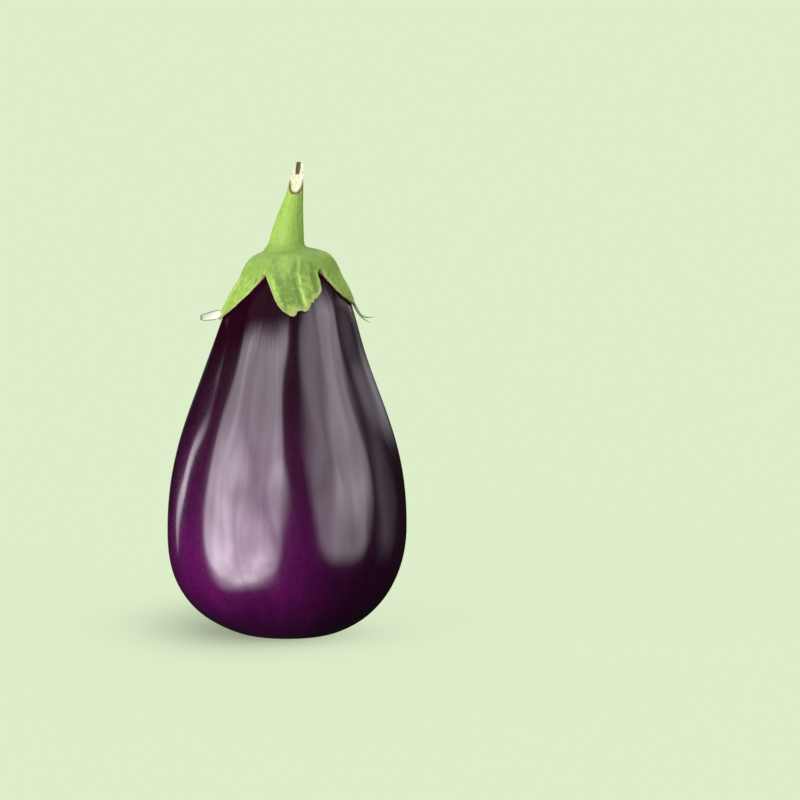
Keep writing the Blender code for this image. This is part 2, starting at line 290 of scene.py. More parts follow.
# Colours, as linear red, green and blue
PALE_GREEN = (0.730, 0.847, 0.591)
SKIN_BOTTOM = (0.026, 0.0014, 0.022)
SKIN_LOW = (0.058, 0.0024, 0.048)
SKIN_MIDDLE = (0.028, 0.0014, 0.020)
SKIN_TOP = (0.0095, 0.0010, 0.0042)
# Painted shade that darkens the skin towards its right (+X) side.
SKIN_RIGHT_SHADE = (0.0085, 0.0008, 0.0050)
GREEN_DARK = (0.097, 0.180, 0.024)
GREEN_MIDDLE = (0.178, 0.318, 0.046)
GREEN_LIGHT = (0.275, 0.445, 0.086)
GREEN_HUB = (0.115, 0.225, 0.030)
GREEN_RIPE = (0.230, 0.280, 0.075)
GREEN_STEM = (0.205, 0.365, 0.045)
MARGIN_PALE = (0.330, 0.400, 0.130)
MARGIN_DRY = (0.330, 0.250, 0.130)
WOOD_DARK = (0.40, 0.42, 0.22)
WOOD_LIGHT = (0.58, 0.66, 0.41)
WOOD_RIM = (0.085, 0.064, 0.010)
# Dark pith, with painted shade in the groove of the cut.
WOOD_PITH_SHADE = (0.075, 0.080, 0.032)
PAPER = (0.64, 0.72, 0.56)
PAPER_RIM = (0.17, 0.22, 0.11)

# Floor. Its shadows are soft-edged ovals: (x, y, half width, half depth, darkness).
FLOOR_SIZE = 30.0  # metres
FLOOR_GLOW = 0.88  # share of its brightness that does not depend on the light
FLOOR_LIGHT = (1.72, 1.52, 1.77)  # what falls on it
FLOOR_SHADOWS = ((-25, 22, 31, 56, 0.44), (-5, -3, 25, 25, 0.43))

# Light that falls on the object, painted on the sky as soft-edged panels. Azimuths are from the front
# towards +X, and elevations are from level, in degrees. Slant is how far a panel's azimuth moves for
# each degree up. The squarer a panel, the sharper its corners. Softness is a share of its half size.
Panel = namedtuple("Panel", "azimuth half_width elevation half_height slant square softness level")
PANELS = {
    "left": Panel(-44, 43, 19, 59, 0.0, 2.5, 0.07, 2.6),
    "left_low": Panel(-49, 32, -21, 23, 0.0, 3.5, 0.30, 3.1),
    "left_middle": Panel(-66, 20, 12, 12, 0.0, 2.0, 0.60, 1.2),
    "left_bulge": Panel(-5, 9, 8, 13, 0.0, 2.0, 0.30, 1.5),
    "left_streak": Panel(-125, 3.6, 3, 11, 1.05, 3.0, 0.40, 3.2),
    "left_rim": Panel(-172, 9, 9, 10, 0.0, 2.0, 0.60, 0.5),
    "right": Panel(61, 35, 24, 43, 0.0, 2.2, 0.18, 1.55),
    "right_core": Panel(80, 27, 34, 34, 0.35, 2.6, 0.30, 0.9),
    "right_edge": Panel(117, 14, 0, 14, 0.0, 2.0, 0.60, 0.30),
    "right_rim": Panel(144, 14, 9, 9, -2.5, 3.0, 0.50, 0.85),
    "back": Panel(-180, 50, 55, 28, 0.0, 3.0, 0.35, 2.2),
    "back_right": Panel(180, 50, 55, 28, 0.0, 3.0, 0.35, 2.2),
}
TOP_LIGHT = 2.0  # from straight above
AMBIENT = 0.012  # from where there is no panel
IN_REFLECTIONS = 0.6  # share of the light that shows in reflections
# The light of the panels varies a little, as (share, detail in azimuth, detail in elevation).
UNEVEN = ((0.30, 0.030, 0.045), (0.16, 0.16, 0.03))
LIGHT_COLOUR = (1.0, 0.90, 1.0)

# Camera. Its place is in metres.
CAMERA_PLACE = (0.0, -1.985, 0.3287)
CAMERA_TILT = 7.0  # degrees down
CAMERA_LENS = 216.45
CAMERA_SHIFT = (0.141, 0.0384)
CAMERA_REACH = 100.0  # metres, past the floor's far edge


def ease(share):
    """0 to 1, level at both ends, as the share goes from 0 to 1."""
    share = np.clip(share, 0.0, 1.0)
    return share * share * (3 - 2 * share)


def mix(a, b, share):
    """From a to b as the share goes from 0 to 1."""
    return a + (b - a) * share


def follow(points, at):
    """Straight lines through (place, value) points, read at these places."""
    places, values = np.array(points, float).T
    return np.interp(at, places, values)


def smooth_curve(points, first_direction, last_direction, steps):
    """Points along one cubic spline, which passes through the given points with even curvature."""
    p = np.array(points, float)
    span = np.linalg.norm(np.diff(p, axis=0), axis=1)
    count = len(p)
    rows = np.zeros((count, count))
    wanted = np.zeros_like(p)
    rows[0, 0] = rows[-1, -1] = 1.0
    wanted[0], wanted[-1] = first_direction, last_direction
    for i in range(1, count - 1):
        before, after = span[i - 1], span[i]
        rows[i, i - 1 : i + 2] = after, 2 * (before + after), before
        wanted[i] = 3 * (after * (p[i] - p[i - 1]) / before + before * (p[i + 1] - p[i]) / after)
    slopes = np.linalg.solve(rows, wanted)
    reached = np.concatenate([[0.0], np.cumsum(span)])
    distance = np.linspace(0.0, reached[-1], steps + 1)
    i = np.clip(np.searchsorted(reached, distance, "right") - 1, 0, count - 2)
    t = ((distance - reached[i]) / span[i])[:, None]
    reach = span[i][:, None]
    return (
        (1 + 2 * t) * (1 - t) ** 2 * p[i]
        + t * (1 - t) ** 2 * reach * slopes[i]
        + t * t * (3 - 2 * t) * p[i + 1]
        + t * t * (t - 1) * reach * slopes[i + 1]
    )


def fruit_outline(steps):
    """(radius, height) from the flat spot's edge to the top of the fruit."""
    points = [(REST_RADIUS, 0.0)]
    points += [(r * FRUIT_RADIUS, z * FRUIT_HEIGHT) for r, z in OUTLINE]
    return smooth_curve(points, (1.0, 0.0), (-1.0, 0.0), steps)


def swell(angle, height):
    """The factor by which the fruit's radius differs from its outline there."""
    share = height / FRUIT_HEIGHT
    turn = np.radians(angle)
    waves = sum(size * np.sin(count * (turn - math.pi / 2)) for size, count in SWELLS)
    return 1.0 + waves * ease(share / 0.25) * ease((0.97 - share) / 0.25)


def ring_point(angle, radius, height):
    """The points there, moved by how the grown fruit's axis wanders from a straight line."""
    share = height / FRUIT_HEIGHT
    belly = ease(share / 0.08) * ease((0.28 - share) / 0.16)
    top = ease((share - 0.70) / 0.30)
    turn = np.radians(angle)
    x = radius * np.sin(turn)
    return np.stack(
        [x + BELLY_SHIFT * belly + TOP_SHIFT * top, -radius * np.cos(turn), height + TOP_TILT * x * top],
        axis=-1,
    )


class Skin:
    """The fruit's skin as a place to lay the calyx on, by angle and distance from the top."""

    def __init__(self):
        outline = fruit_outline(OUTLINE_STEPS)[::-1]
        steps = np.linalg.norm(np.diff(outline, axis=0), axis=1)
        self.distance = np.concatenate([[0.0], np.cumsum(steps)])
        self.radius, self.height = outline.T
        along = np.gradient(outline, self.distance, axis=0)
        along /= np.linalg.norm(along, axis=1)[:, None]
        self.out_radius, self.out_height = -along[:, 1], along[:, 0]

    def at(self, angle, distance, lift):
        """The points this far from the top along the skin, and lifted this far off it."""
        r, z, out_r, out_z = (
            np.interp(distance, self.distance, values)
            for values in (self.radius, self.height, self.out_radius, self.out_height)
        )
        return ring_point(angle, r * swell(angle, z) + lift * out_r, z + lift * out_z)

    def arc(self, degrees, distance):
        """The width that this angle takes up there."""
        return np.radians(degrees) * np.interp(distance, self.distance, self.radius)


def grid_quads(rows, columns, start=0, closed=False):
    """The quads of a grid of points that are numbered row by row."""
    row, column = np.meshgrid(
        np.arange(rows - 1), np.arange(columns if closed else columns - 1), indexing="ij"
    )
    right = (column + 1) % columns
    this, following = row * columns, (row + 1) * columns
    corners = (this + column, this + right, following + right, following + column)
    return (start + np.stack(corners, axis=-1).reshape(-1, 4)).tolist()


def shell_faces(rows, columns, start, open_rows):
    """The quads of an outer and an inner grid, and of the rim that joins them past the open rows."""
    size = rows * columns
    faces = grid_quads(rows, columns, start) + grid_quads(rows, columns, start + size)
    index = np.arange(size).reshape(rows, columns) + start
    sides = [index[open_rows:, 0], index[-1, 1:-1], index[open_rows:, -1][::-1]]
    if not open_rows:
        sides += [index[0, 1:-1][::-1], index[0, :1]]
    rim = np.concatenate(sides).tolist()
    return faces + [[a, b, b + size, a + size] for a, b in zip(rim[:-1], rim[1:], strict=True)]


def make_piece(name, points, faces, material, attributes=None, weld=0.0):
    """A smooth mesh piece from points in millimetres. It rides on the object's one body."""
    mesh = bpy.data.meshes.new(name)
    mesh.from_pydata((points * MM).tolist(), [], faces)
    for key, values in (attributes or {}).items():
        kind, field = ("FLOAT_VECTOR", "vector") if values.ndim == 2 else ("FLOAT", "value")
        layer = mesh.attributes.new(key, kind, "POINT")
        layer.data.foreach_set(field, values.astype(np.float32).ravel())
    work = bmesh.new()
    work.from_mesh(mesh)
    if weld:
        bmesh.ops.remove_doubles(work, verts=work.verts, dist=weld * MM)
    bmesh.ops.recalc_face_normals(work, faces=work.faces)
    work.to_mesh(mesh)
    work.free()
    mesh.shade_smooth()
    mesh.materials.append(material)
    piece = bpy.data.objects.new(name, mesh)
    bpy.context.scene.collection.objects.link(piece)
    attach(piece, "root")
    return piece


class Graph:
    """Adds shader nodes to one tree. An input may be a socket or a plain value."""

    def __init__(self, owner):
        owner.use_nodes = True
        self.tree = owner.node_tree
        self.tree.nodes.clear()

    def add(self, kind, inputs=None, **settings):
        node = self.tree.nodes.new(kind)
        for name, value in settings.items():
            setattr(node, name, value)
        for key, value in (inputs or {}).items():
            if isinstance(value, bpy.types.NodeSocket):
                self.tree.links.new(value, node.inputs[key])
            else:
                node.inputs[key].default_value = value
        return node

    def math(self, operation, *values):
        return self.add("ShaderNodeMath", dict(enumerate(values)), operation=operation).outputs[0]

    def add_up(self, first, *others):
        for other in others:
            first = self.math("ADD", first, other)
        return first

    def times(self, first, *others):
        for other in others:
            first = self.math("MULTIPLY", first, other)
        return first

    def vector_math(self, operation, *values):
        return self.add("ShaderNodeVectorMath", dict(enumerate(values)), operation=operation).outputs[0]

    def ramp(self, value, low, high, at_low=0.0, at_high=1.0):
        """Goes from one level to the other as the value goes from low to high, and stays there."""
        inputs = {0: value, 1: low, 2: high, 3: at_low, 4: at_high}
        return self.add("ShaderNodeMapRange", inputs, interpolation_type="SMOOTHSTEP").outputs[0]

    def noise(self, vector, scale, detail, roughness=0.55):
        inputs = {"Vector": vector, "Scale": scale, "Detail": detail, "Roughness": roughness}
        return self.add("ShaderNodeTexNoise", inputs).outputs["Fac"]

    def mix(self, share, a, b):
        """Mixes two colours."""
        node = self.add("ShaderNodeMix", data_type="RGBA")
        sockets = (node.inputs[0], node.inputs[6], node.inputs[7])
        for socket, value in zip(sockets, (share, a, b), strict=True):
            if isinstance(value, bpy.types.NodeSocket):
                self.tree.links.new(value, socket)
            else:
                socket.default_value = (*value, 1.0) if isinstance(value, tuple) else value
        return node.outputs[2]

    def attribute(self, name, output="Fac"):
        return self.add("ShaderNodeAttribute", attribute_name=name).outputs[output]

    def place(self):
        """Where the point is, in millimetres."""
        position = self.add("ShaderNodeTexCoord").outputs["Object"]
        return self.vector_math("MULTIPLY", position, (1 / MM,) * 3)

    def join(self, x, y, z=0.0):
        return self.add("ShaderNodeCombineXYZ", {0: x, 1: y, 2: z}).outputs[0]

    def scale(self, vector, factor):
        node = self.add("ShaderNodeVectorMath", {0: vector, 3: factor}, operation="SCALE")
        return node.outputs[0]

    def parts(self, vector):
        return self.add("ShaderNodeSeparateXYZ", {0: vector}).outputs

    def bump(self, height, strength, distance):
        """Bumps whose heights are in millimetres."""
        inputs = {"Height": height, "Strength": strength, "Distance": distance * MM}
        return self.add("ShaderNodeBump", inputs).outputs[0]

    def surface(self, **inputs):
        """The finished surface. Underscores in the names stand for spaces."""
        inputs = {key.replace("_", " "): value for key, value in inputs.items()}
        shader = self.add("ShaderNodeBsdfPrincipled", inputs)
        self.add("ShaderNodeOutputMaterial", {"Surface": shader.outputs[0]})


def paint(name):
    """A new material and the graph that fills it."""
    material = bpy.data.materials.new(name)
    return material, Graph(material)


def skin_colour(graph, place, out_x, streaks):
    """Near black at the top, violet low down and dark at the very bottom; painted shade darkens the right
    side.
    """
    clouds = graph.noise(place, 0.045, 4.0, 0.6)
    specks = graph.noise(place, 0.5, 3.0)
    z = graph.parts(place)[2]
    height = graph.add_up(z, graph.times(clouds, 40.0), graph.times(streaks, 14.0), -27.0)
    colour = graph.mix(graph.ramp(height, -2.0, 30.0), SKIN_BOTTOM, SKIN_LOW)
    colour = graph.mix(graph.ramp(height, 34.0, 74.0), colour, SKIN_MIDDLE)
    colour = graph.mix(graph.ramp(height, 70.0, 118.0), colour, SKIN_TOP)
    # Painted shade: the skin's colour darkens towards the right (+X) side.
    colour = graph.mix(graph.ramp(out_x, -0.2, 0.7, 0.0, 0.85), colour, SKIN_RIGHT_SHADE)
    shade = graph.times(graph.ramp(streaks, 0.3, 0.7, 0.86, 1.12), graph.ramp(specks, 0.3, 0.7, 0.88, 1.12))
    return graph.scale(colour, shade), clouds


def skin_material():
    """Glossy skin with a fine lengthwise grain."""
    material, graph = paint("skin")
    place = graph.place()
    z = graph.parts(place)[2]
    flat = graph.vector_math("MULTIPLY", place, (1.0, 1.0, 0.0))
    out_x, out_y, _ = graph.parts(graph.vector_math("NORMALIZE", flat))
    streaks = graph.noise(graph.join(out_x, out_y, graph.times(z, 0.007)), 5.0, 4.0)
    hairs = graph.noise(graph.join(out_x, out_y, graph.times(z, 0.004)), 34.0, 3.0)
    colour, clouds = skin_colour(graph, place, out_x, streaks)
    # Just below the calyx the skin is duller, further down on the left than on the right.
    dull_from = graph.add_up(
        graph.ramp(out_x, -0.90, -0.45, 116.0, 128.0),
        graph.ramp(out_x, -0.10, 0.35, 0.0, 14.5),
        graph.times(hairs, 6.0),
        graph.times(streaks, 8.0),
        -7.0,
    )
    shine = graph.ramp(graph.math("SUBTRACT", z, dull_from), -8.0, 8.0, 1.0, 0.03)
    bumps = graph.add_up(graph.times(streaks, 0.30), graph.times(hairs, 0.05), graph.times(clouds, 0.4))
    graph.surface(
        Base_Color=colour,
        Roughness=graph.ramp(hairs, 0.3, 0.7, 0.20, 0.30),
        IOR=1.40,
        Specular_IOR_Level=graph.times(shine, 0.3),
        Coat_Weight=shine,
        Coat_Roughness=0.10,
        Coat_IOR=2.0,
        Normal=graph.bump(bumps, 0.5, 1.0),
    )
    return material


def green_colour(graph, place):
    """Mottled green with lengthwise streaks, with painted light on the raised folds and painted shade in
    the hollows between them.
    """
    grain = graph.attribute("grain", "Vector")
    relief_shade = graph.attribute("relief_shade")
    streaks = graph.noise(graph.vector_math("MULTIPLY", grain, (1.3, 1.3, 0.12)), 1.0, 4.0)
    mottle = graph.noise(place, 0.50, 5.0, 0.65)
    # The fold height paints light on raised folds and ridges and shade in the hollows between them.
    tone = graph.add_up(
        graph.times(streaks, 0.70),
        graph.times(mottle, 1.35),
        graph.times(relief_shade, 0.60),
        -0.53,
    )
    colour = graph.mix(graph.ramp(tone, 0.15, 0.50), GREEN_DARK, GREEN_MIDDLE)
    return graph.mix(graph.ramp(tone, 0.48, 0.85), colour, GREEN_LIGHT), streaks


def calyx_material():
    """Green, darker at the stem, riper at the tips, with pale and dry edges."""
    material, graph = paint("calyx_green")
    place = graph.place()
    margin = graph.attribute("margin")
    out = graph.attribute("out")
    colour, streaks = green_colour(graph, place)
    colour = graph.mix(graph.ramp(out, 0.0, 0.22, 0.55, 0.0), colour, GREEN_HUB)
    colour = graph.mix(graph.ramp(out, 0.72, 1.05, 0.0, 0.7), colour, GREEN_RIPE)
    grit = graph.noise(place, 1.6, 3.0)
    ragged = graph.add_up(margin, graph.times(streaks, 0.5), graph.times(grit, 0.5), -0.5)
    colour = graph.mix(graph.ramp(ragged, 0.35, 0.80, 0.0, 0.65), colour, MARGIN_PALE)
    colour = graph.mix(graph.ramp(ragged, 0.80, 1.05, 0.0, 0.85), colour, MARGIN_DRY)
    bumps = graph.add_up(graph.times(streaks, 0.35), graph.times(grit, 0.10))
    graph.surface(Base_Color=colour, Roughness=0.52, IOR=1.36, Normal=graph.bump(bumps, 0.8, 1.0))
    return material


def stem_material():
    """Green bark, and the dry wood of the cut."""
    material, graph = paint("stem_green")
    place = graph.place()
    wood = graph.attribute("wood")
    z = graph.parts(place)[2]
    colour, streaks = green_colour(graph, place)
    colour = graph.mix(0.5, colour, GREEN_STEM)
    colour = graph.mix(graph.ramp(z, 161.0, 166.0, 0.5, 0.0), colour, GREEN_HUB)
    fibres = graph.noise(graph.vector_math("MULTIPLY", place, (1.6, 1.6, 0.3)), 1.0, 3.0)
    dry = graph.mix(graph.ramp(fibres, 0.35, 0.65), WOOD_DARK, WOOD_LIGHT)
    dry = graph.mix(graph.ramp(wood, 1.0, 2.0), dry, WOOD_RIM)
    # The hollow is dark pith with painted shade in its groove.
    dry = graph.mix(graph.ramp(wood, 2.0, 3.0), dry, WOOD_PITH_SHADE)
    colour = graph.mix(graph.ramp(wood, 0.0, 0.9), colour, dry)
    bumps = graph.add_up(graph.times(streaks, 0.30), graph.times(graph.noise(place, 1.6, 3.0), 0.10))
    graph.surface(Base_Color=colour, Roughness=0.5, IOR=1.36, Normal=graph.bump(bumps, 0.8, 1.0))
    return material


def dry_material():
    """The papery, dried tips of two lobes."""
    material, graph = paint("dry_tip")
    rim = graph.ramp(graph.attribute("margin"), 0.2, 0.9)
    graph.surface(Base_Color=graph.mix(rim, PAPER, PAPER_RIM), Roughness=0.6, IOR=1.4)
    return material


def make_fruit():
    """The purple body, with its flat spot and blossom scar below."""
    rest_radius = np.linspace(0.0, REST_RADIUS, REST_ROWS, endpoint=False)
    rest = np.stack([rest_radius, SCAR_RISE * np.exp(-((rest_radius / SCAR_RADIUS) ** 2))], axis=-1)
    outline = np.concatenate([rest, fruit_outline(FRUIT_ROWS)])
    angle = np.arange(FRUIT_COLUMNS) * 360.0 / FRUIT_COLUMNS
    radius, height = outline[:, :1], outline[:, 1:]
    share = height / FRUIT_HEIGHT
    dents = sum(
        depth * np.sin(count * (np.radians(angle) + twist * share) + phase)
        for depth, count, phase, twist in DENTS
    )
    dents = (dents - sum(depth for depth, *_ in DENTS)) * ease(share / 0.2) * ease((1 - share) / 0.2)
    points = ring_point(angle, radius * swell(angle, height) + dents, height + 0 * angle)
    rows = len(outline)
    faces = grid_quads(rows, FRUIT_COLUMNS, closed=True)
    fruit = make_piece("fruit_skin", points.reshape(-1, 3), faces, skin_material(), weld=SKIN_WELD)
    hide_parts("fruit")


def relief_at(skin, angle, distance):
    """How far the folds rise or sink there."""
    total = np.zeros_like(distance)
    for fold in FOLDS:
        middle = follow(fold.way, distance)
        aside = skin.arc((angle - middle + 180.0) % 360.0 - 180.0, distance)
        start, stop = fold.way[0][0], fold.way[-1][0]
        fade = ease((distance - start) / 4.0) * ease((stop + 2.0 - distance) / 4.0)
        total += fold.height * np.exp(-((aside / fold.width) ** 2)) * fade
    return total


def lobe_grid(lobe):
    """Angle, distance, first angle, and share of the way out, over one lobe's strip of the calyx."""
    across = np.linspace(0.0, 1.0, lobe.columns + 1)[None, :]
    notch = mix(lobe.left_notch, lobe.right_notch, across)
    hub = np.linspace(0.0, 1.0, HUB_ROWS, endpoint=False)[:, None]
    out = np.linspace(0.0, 1.0, LOBE_ROWS + 1)[:, None]
    end = follow(lobe.end, across)
    first = mix(lobe.left[0][1], lobe.right[0][1], across)
    distance = np.concatenate([mix(HUB_DISTANCE, notch, hub), mix(notch, end, out)])
    in_lobe = mix(follow(lobe.left, out), follow(lobe.right, out), across)
    angle = np.concatenate([first + 0 * hub, in_lobe])
    out = np.concatenate([0 * hub, out]) + 0 * across
    return angle, distance, first + 0 * distance, out, across + 0 * distance


def edge_distance(skin, lobe, distance, out, across):
    """How far a point of a lobe is from the lobe's nearest edge."""
    width = skin.arc(follow(lobe.right, out) - follow(lobe.left, out), distance)
    end = follow(lobe.end, across)
    side = np.minimum(across, 1.0 - across) * width
    before_notch = np.maximum(0.0, mix(lobe.left_notch, lobe.right_notch, across) - distance)
    notch_side = np.hypot(side, before_notch * 0.8)
    return np.minimum(np.where(out > 0, side, notch_side), end - distance)


def calyx_thickness(distance, inside, out):
    """The calyx thins out towards its lobes' tips, and is rounded off at their edges."""
    thick = mix(THICK, THIN, ease((distance - THICK_TO) / (THIN_FROM - THICK_TO)))
    rounding = np.sqrt(1 - (1 - np.clip(inside / MARGIN_WIDTH, 0, 1)) ** 2)
    return mix(MARGIN_THICKNESS, thick, np.where(out > 0, rounding, 1.0))


def calyx_strip(skin, lobe):
    """One lobe with its part of the cap: its outer and inner points, and what the shader reads there."""
    angle, distance, first, out, across = lobe_grid(lobe)
    inside = edge_distance(skin, lobe, distance, out, across)
    folds = relief_at(skin, angle, distance) * ease(inside / FOLD_FREE)
    lift = CALYX_GAP + MARGIN_LIFT * out * np.clip(1 - inside / MARGIN_LIFT_WIDTH, 0, 1) ** 2
    inner = skin.at(angle, distance, lift + np.minimum(0, folds * FOLD_SHARE_BELOW))
    outer = skin.at(angle, distance, lift + calyx_thickness(distance, inside, out) + folds)
    from_stem = np.hypot(outer[..., 0] - STEM_LINE[0][0] * STEM_LENGTH, outer[..., 1])
    outer[..., 2] += FILLET_RISE * np.exp(-np.maximum(0.0, from_stem - FILLET_RADIUS) / FILLET_REACH)
    turn = np.radians(first)
    grain = np.stack([GRAIN_RADIUS * np.sin(turn), GRAIN_RADIUS * np.cos(turn), distance], axis=-1)
    in_cap = ease((distance - MARGIN_FROM) / MARGIN_RUN)
    margin = np.exp(-inside / MARGIN_FADE) * np.where(out > 0, 1.0, in_cap)
    return outer, inner, {"grain": grain.reshape(-1, 3), "relief_shade": folds, "margin": margin, "out": out}


def make_calyx():
    """The green cap with its five lobes, as one shell."""
    skin = Skin()
    points = []
    faces = []
    attributes = {"grain": [], "relief_shade": [], "margin": [], "out": []}
    count = 0
    for lobe in LOBES.values():
        outer, inner, values = calyx_strip(skin, lobe)
        points += [outer.reshape(-1, 3), inner.reshape(-1, 3)]
        rows, columns = outer.shape[:2]
        faces += shell_faces(rows, columns, count, HUB_ROWS)
        count += 2 * rows * columns
        for key, store in attributes.items():
            flat = values[key] if key == "grain" else values[key].ravel()
            store += [flat, flat]
    attributes = {key: np.concatenate(store) for key, store in attributes.items()}
    calyx = make_piece(
        "calyx_lobes", np.concatenate(points), faces, calyx_material(), attributes, CALYX_WELD
    )
    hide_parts("calyx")


def stem_line(steps):
    """(x, y, z, radius) along the stem, with its root inside the calyx."""
    points = [
        (
            x * STEM_LENGTH,
            y * STEM_LENGTH,
            STEM_FOOT + z * STEM_LENGTH,
            mix(STEM_TIP_RADIUS, STEM_BASE_RADIUS, girth),
        )
        for x, y, z, girth in STEM_LINE
    ]
    line = smooth_curve(points, (0, 0, 1, -0.6), (0.08, 0.05, 1, -0.1), steps)
    root = [(points[0][0], 0.0, STEM_FOOT + rise, radius) for rise, radius in STEM_ROOT]
    return np.concatenate([np.array(root), line])


def cut_height(back):
    """The height of the stem's cut at this share of the way from its front to its back."""
    return mix(CUT_FOOT, CUT_TOP, np.minimum(back / CUT_REACH, 1.0) ** CUT_BEND)


def stem_rings(line, turn):
    """The stem before it is cut, as rings of points, and how far its lengthwise ridges stand out."""
    x, y, z, radius = line.T[..., None]
    share = (z - STEM_FOOT) / STEM_LENGTH
    ridges = sum(
        size * np.sin(count * (turn + STEM_TWIST * share) + phase) for size, count, phase in STEM_RIDGES
    )
    girth = radius * (1 + ridges * ease(share / 0.15) - 0.005)
    rings = np.stack([x + girth * np.sin(turn), y - girth * np.cos(turn), z + 0 * girth], axis=-1)
    return rings, ridges


def cut_rings(rings, turn):
    """Ends each column of points where the slanting cut passes, and spreads it out again below."""
    back = (1 - np.cos(turn)) / 2
    notch = np.exp(-((np.sin(turn) * STEM_TIP_RADIUS / NOTCH_WIDTH) ** 2)) * ease(2 * back - 1)
    cut = cut_height(back) - NOTCH_DEPTH * notch
    rows = np.arange(len(rings))
    bark = np.empty_like(rings)
    for column in range(STEM_COLUMNS):
        crossing = np.interp(cut[column], rings[:, column, 2], rows)
        wanted = np.linspace(0.0, crossing, len(rows))
        for axis in range(3):
            bark[:, column, axis] = np.interp(wanted, rows, rings[:, column, axis])
    return bark


def cut_face(line, edge, turn):
    """The cut as rings from its edge to its middle. It is wood (1), with brown (2) and hollow (3) parts;
    the hollow is coloured as dark pith with painted shade.
    """
    x, y, z, radius = line.T
    inward = np.linspace(0.0, 1.0, CUT_RINGS)[:, None]
    depth = mix((1 - np.cos(turn)) / 2, 0.5, inward)
    flat = cut_height(depth)
    top = mix(edge[:, 2], cut_height(0.5), inward)
    top = mix(np.minimum(top, flat), flat, ease(inward / 0.2))
    here_x, here_y, here_radius = (np.interp(top, z, values) for values in (x, y, radius))
    edge_x, edge_radius = (np.interp(edge[:, 2], z, values) for values in (x, radius))
    aside = mix((edge[:, 0] - edge_x) / edge_radius, 0.0, inward) * here_radius
    face = np.stack([here_x + aside, here_y + (2 * depth - 1) * here_radius, top], axis=-1)
    face[0] = edge
    hollow = ease((1.0 - np.abs(aside) / PITH_RADIUS) / 0.5) * ease((top - PITH_FOOT) / 2.0)
    hollow *= ease(inward / 0.1)
    wall = (1 - depth) * 2 * here_radius
    face[..., 1] += np.minimum(PITH_DEPTH, PITH_WALL * wall) * hollow
    rim = ease((RIM_WIDTH - inward) / 0.40) * ease((CUT_FOOT + RIM_HEIGHT - top) / RIM_FADE)
    return face, np.maximum(1.0 + rim, 1.0 + 2.0 * hollow)


def make_stem():
    """The leaning stalk with its slanting cut."""
    line = stem_line(STEM_STEPS)
    turn = np.arange(STEM_COLUMNS) * 2 * math.pi / STEM_COLUMNS
    rings, ridges = stem_rings(line, turn)
    bark = cut_rings(rings, turn)
    face, wood = cut_face(line, bark[-1], turn)
    faces = grid_quads(len(bark), STEM_COLUMNS, closed=True)
    faces += grid_quads(CUT_RINGS, STEM_COLUMNS, start=bark.size // 3, closed=True)
    around = STEM_GRAIN_RADIUS * np.stack([np.sin(turn), np.cos(turn)], axis=-1)
    grain = np.concatenate([np.broadcast_to(around, bark[..., :2].shape), bark[..., 2:]], axis=-1)
    attributes = {
        "grain": np.concatenate([grain.reshape(-1, 3), face.reshape(-1, 3)]),
        # The ridges' heights give the bark painted light on them and painted shade between them.
        "relief_shade": np.concatenate([5 * ridges.ravel(), np.zeros(face.size // 3)]),
        "wood": np.concatenate([np.zeros(bark.size // 3), wood.ravel()]),
    }
    points = np.concatenate([bark.reshape(-1, 3), face.reshape(-1, 3)])
    stem = make_piece("stem_bark", points, faces, stem_material(), attributes)
    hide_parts("stem")


def make_cup(material):
    """The left lobe's dried tip, curled into a little cup."""
    x, z, half, depth = smooth_curve(CUP, (-1, 0, 0.1, 0.1), (0, 0, -1, 0), CUP_STEPS).T[..., None]
    across = np.linspace(-1.0, 1.0, CUP_COLUMNS + 1)[None, :]
    bend = across * math.radians(CUP_BEND)
    inner = np.stack(
        [x + 0 * bend, CUP_FRONT + depth * (np.cos(bend) + 0.4) + 0 * x, z + half * np.sin(bend)], axis=-1
    )
    outward = np.stack([0 * bend, np.cos(bend), np.sin(bend)], axis=-1)
    outer = inner + CUP_THICKNESS * outward
    rows, columns = inner.shape[:2]
    faces = shell_faces(rows, columns, 0, 0)
    along = np.arange(rows)[:, None] / CUP_STEPS
    margin = np.maximum(np.abs(across) ** 3 + 0 * x, ease((along - 0.8) / 0.2))
    points = np.concatenate([outer.reshape(-1, 3), inner.reshape(-1, 3)])
    edge = np.concatenate([np.maximum(margin, 0.4).ravel(), margin.ravel()])
    make_piece("dry_cup", points, faces, material, {"margin": edge})


def make_thread(name, way, material):
    """A dry, tapering thread."""
    first = np.subtract(way[1], way[0])
    last = np.subtract(way[-1], way[-2])
    line = smooth_curve(way, first / np.linalg.norm(first), last / np.linalg.norm(last), THREAD_STEPS)
    along = np.gradient(line[:, :3], axis=0)
    along /= np.linalg.norm(along, axis=1)[:, None]
    side = np.cross(along, (0.0, 1.0, 0.0))
    side /= np.linalg.norm(side, axis=1)[:, None]
    up = np.cross(side, along)
    turn = np.arange(THREAD_COLUMNS) * 2 * math.pi / THREAD_COLUMNS
    ring = np.cos(turn)[None, :, None] * side[:, None] + np.sin(turn)[None, :, None] * up[:, None]
    points = line[:, None, :3] + line[:, None, 3:] * ring
    faces = grid_quads(len(line), THREAD_COLUMNS, closed=True)
    points = points.reshape(-1, 3)
    ends = np.arange(len(points))
    faces += [ends[:THREAD_COLUMNS].tolist(), ends[-THREAD_COLUMNS:].tolist()]
    margin = np.full(len(points), THREAD_DARKNESS)
    make_piece(f"dry_thread_{name}", points, faces, material, {"margin": margin})


def make_dry_tips():
    """The dried ends of the left and the right lobe."""
    material = dry_material()
    make_cup(material)
    for name, way in THREADS.items():
        make_thread(name, way, material)


